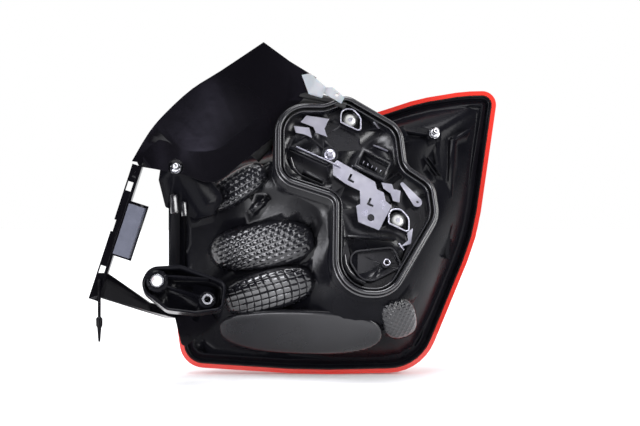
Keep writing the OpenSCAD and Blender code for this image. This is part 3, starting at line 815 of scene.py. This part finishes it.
# The bars wear the glossier rim black, which paints the curves brighter than the carrier's satin
routed("pocket_wall", POCKET_ROUTE, radius=3.6, finish=rim_gloss, depth=-58)
routed("bay_wall", BAY_ROUTE, radius=3.4, finish=rim_gloss, depth=-33)

# %% [markdown]
# Small contacts
#
# The real carrier has many small sprung contacts. Four that show as short bright strokes are thin
# bars, laid on the surface that the camera sees.

# %% Contacts
CONTACTS = {
    "contact_side": (((373, 145), (388, 151)), 1.3),
    "contact_low": (((399, 243), (404, 250)), 1.2),
    "contact_bend": (((352, 166), (357, 171)), 1.3),
    "contact_high": (((374, 122), (379, 128)), 1.3),
}
for name, (route, radius) in CONTACTS.items():
    routed(name, route, radius, plated)

# %% [markdown]
# Filling between fin and collar
#
# In the photograph the space between fin, clip and collar is filled with dark ribs and latches
# whose form can't be read. Two rubber bars close it: one under the clip, and a thick one along the
# fin's lower edge that meets both fin and collar.

# %% Web and seal
CLIP_ROUTE = ((299, 94), (316, 97), (330, 100), (346, 106))
FIN_ROUTE = ((254, 158), (264, 147), (270, 136), (277, 122), (285, 110), (295, 104),
             (306, 102), (318, 103), (332, 107))
routed("clip_web", CLIP_ROUTE, radius=4.4, finish=rubber, depth=-30)
routed("fin_seal", FIN_ROUTE, radius=8, finish=rubber, depth=-8)

# %% [markdown]
# Bright facets of the left post
#
# Two small faces of the left post mirror a lamp and show nearly white. A face only does that at one
# angle, half way between the camera and the lamp. So each facet is a cube, scaled to a flat block,
# turned until it mirrors the right soft box, and bevelled.

# %% Post facets
LEFT_PIXEL, RIGHT_PIXEL = (174, 204), (184, 209)
FACET_TURN = (-8, 0, 29)  # degrees round x, y and z
FACET_THICK = 5
FACET_BEVEL = 0.8
FACET_ANGLE = 35  # smoothing angle in degrees


def facet(name, pixel, depth, width, height):
    bpy.ops.mesh.primitive_cube_add(size=1, location=place(*pixel, depth),
                                    rotation=[math.radians(turn) for turn in FACET_TURN],
                                    scale=(width / MM, FACET_THICK / MM, height / MM))
    ob = bpy.context.object
    ob.name = name
    bpy.ops.object.transform_apply(location=True, rotation=True, scale=True)
    bevel = ob.modifiers.new("bevel", "BEVEL")
    bevel.width = FACET_BEVEL / MM
    bevel.segments = 2
    bpy.ops.object.modifier_apply(modifier="bevel")
    smooth(FACET_ANGLE)
    # The glossier rim black paints the facets' reflection brighter than the housing's
    dress(ob, rim_gloss)
    keep(ob)


facet("post_facet_left", LEFT_PIXEL, depth=-40, width=8.5, height=22)
facet("post_facet_right", RIGHT_PIXEL, depth=-38, width=5.5, height=17)
print("facets made")

# %% [markdown]
# Camera
#
# The camera stands where the measured view puts it and looks straight along +Y. Its lens follows
# from the sensor: the width of the photograph at depth 0 fills the sensor at that distance.

# %% Camera
SENSOR = 36

camera_data = bpy.data.cameras.new("camera")
camera = bpy.data.objects.new("camera", camera_data)
bpy.context.scene.collection.objects.link(camera)
camera.location = EYE
camera.rotation_euler = (math.radians(90), 0, 0)
camera_data.sensor_width = SENSOR
camera_data.lens = SENSOR * DISTANCE / (PHOTO_WIDTH * PIXEL)
bpy.context.scene.camera = camera
print("lens", camera_data.lens)

# %% [markdown]
# White floor
#
# The lamp stands on white ground with only a soft shadow near it. More light on the ground would
# change the looks of the lamp, so the floor glows instead, for the camera, gloss and glass only.
# The glow is weak near the lamp, which keeps the shadow, and grows away from it until the floor is
# white. The floor ends less than half a metre in front of the lamp.

# %% Floor
FLOOR_SIZE = 14
FLOOR_MIDDLE = (0, 6.55)
FLOOR_GAP = 0.0005
GLOW_NEAR, GLOW_FAR = 0.1, 0.6  # strengths
GLOW_START, GLOW_END = 0.4, 2.0  # metres from the origin
WHITE = (1, 1, 1, 1)

floor_finish = Finish("floor", (0.9, 0.9, 0.91), 0.8, Emission_Color=WHITE)
floor_finish.grain(scale=3, height=0.0001, detail=1)
away = floor_finish.add("ShaderNodeVectorMath", None, {0: floor_finish.coords}, operation="LENGTH")
glow = floor_finish.remap(away.outputs["Value"], GLOW_NEAR, GLOW_FAR, GLOW_START, GLOW_END)
glow = floor_finish.maths("MULTIPLY", glow, floor_finish.shown_rays())
floor_finish.link(glow, "Emission Strength")

floor_level = cad_bounds[0][2] - FLOOR_GAP
bpy.ops.mesh.primitive_plane_add(size=FLOOR_SIZE, location=(*FLOOR_MIDDLE, floor_level))
floor = bpy.context.object
floor.name = "floor"
bpy.ops.object.transform_apply(location=True, rotation=False, scale=False)
dress(floor, floor_finish)
print("floor at", round(floor_level, 4))

# %% [markdown]
# World
#
# The world has two backgrounds: pure white where the camera, gloss or glass sees it, and a little
# less, slightly blue light that falls on the lamp from all round.

# %% World
AROUND_COLOR, AROUND_STRENGTH = (0.97, 0.98, 1, 1), 0.85

world = bpy.data.worlds.new("studio")
bpy.context.scene.world = world
world.use_nodes = True
world.node_tree.nodes.clear()
sky = Nodes(world.node_tree)
around = sky.add("ShaderNodeBackground", {"Color": AROUND_COLOR, "Strength": AROUND_STRENGTH})
shown = sky.add("ShaderNodeBackground", {"Color": WHITE, "Strength": 1.0})
either = sky.add("ShaderNodeMixShader", None,
                 {0: sky.shown_rays(), 1: around.outputs[0], 2: shown.outputs[0]})
sky.add("ShaderNodeOutputWorld", None, {0: either.outputs[0]})
print("world ready")

# %% [markdown]
# Dark cards
#
# Gloss black stays black only where it mirrors something dark. Behind and above the camera and
# beside the table the room is dark, and large cards stand for it: one behind the camera, one under
# it, one above and one at each side. The low card has a small violet glow a little to the right,
# for a soft gradient in the black gloss. Only gloss and glass see the cards: the camera, diffuse
# light and shadows don't.

# %% Cards
CARD_COLOR = (0.03, 0.03, 0.04)
SPOT = (0.3, -1.7, -0.75)
SPOT_GLOW = 1.8
SPOT_START, SPOT_END = 0.05, 0.55  # metres from the spot, between which it fades

card_finish = Finish("dark_card", CARD_COLOR, 0.9)
card_finish.smudges(scale=4, low=0.8, high=1.0)
low_finish = Finish("low_card", CARD_COLOR, 0.9, Emission_Color=(0.75, 0.7, 1, 1))
spot_glow = low_finish.remap(low_finish.distance(SPOT), SPOT_GLOW, 0, SPOT_START, SPOT_END)
low_finish.link(spot_glow, "Emission Strength")


def dark_card(name, where, turn, width, height, finish):
    bpy.ops.mesh.primitive_plane_add(size=1, location=where,
                                     rotation=[math.radians(angle) for angle in turn])
    card = bpy.context.object
    card.name = name
    card.scale = (width, height, 1)
    bpy.ops.object.transform_apply(location=True, rotation=True, scale=True)
    dress(card, finish)
    card.visible_camera = False
    card.visible_diffuse = False
    card.visible_shadow = False


# Each card with its place, turns in degrees, width, height and finish
CARDS = {
    "card_front": ((-0.1, -2.6, 0.7), (90, 0, 0), 6, 3, card_finish),
    "card_low": ((-0.1, -1.55, -0.75), (0, 0, 0), 6, 2.1, low_finish),
    "card_top": ((-0.1, -1.1, 2.1), (0, 0, 0), 6, 3, card_finish),
    "card_left": ((-2.6, -1.1, 0.5), (90, 0, 90), 3, 2.6, card_finish),
    "card_right": ((2.4, -1.1, 0.5), (90, 0, 90), 3, 2.6, card_finish),
}
for name, details in CARDS.items():
    dark_card(name, *details)
print("cards", len(CARDS))

# %% [markdown]
# Soft boxes
#
# The bright streaks in black gloss are pictures of the lamps, so the lamps are area lights of a
# real size. The top one lights the whole, the tall ones at left and right draw the long streaks,
# the one at the lower left brightens the lobes, and a weak key above the camera lights what faces
# it.

# %% Lamps
LAMP_AIM = (-0.13, 0, -0.12)


def soft_box(name, where, size, power, color):
    data = bpy.data.lights.new(name, "AREA")
    data.shape = "RECTANGLE"
    data.size, data.size_y = size
    data.energy = power
    data.color = color
    ob = bpy.data.objects.new(name, data)
    bpy.context.scene.collection.objects.link(ob)
    ob.location = where
    ob.rotation_euler = (Vector(LAMP_AIM) - Vector(where)).to_track_quat("-Z", "Y").to_euler()


# Each lamp with its place, width and height, power in watts and colour
LAMPS = {
    "top": ((-0.2, -0.3, 1.5), (1.5, 0.8), 34, (0.97, 0.97, 1)),
    "left": ((-1.6, -0.9, 0.5), (0.35, 1.6), 16, (0.95, 0.95, 1)),
    "right": ((1.4, -1.1, 0.4), (0.6, 1.3), 25, (1, 1, 1)),
    "low_left": ((-1.0, -1.0, -0.36), (0.6, 0.5), 11, (0.95, 0.95, 1)),
    "key": ((0.25, -1.85, 0.7), (0.6, 0.5), 1.9, (0.95, 0.94, 1)),
}
for name, details in LAMPS.items():
    soft_box(name, *details)
bpy.context.scene.view_settings.view_transform = "Standard"
print("lamps", len(LAMPS))
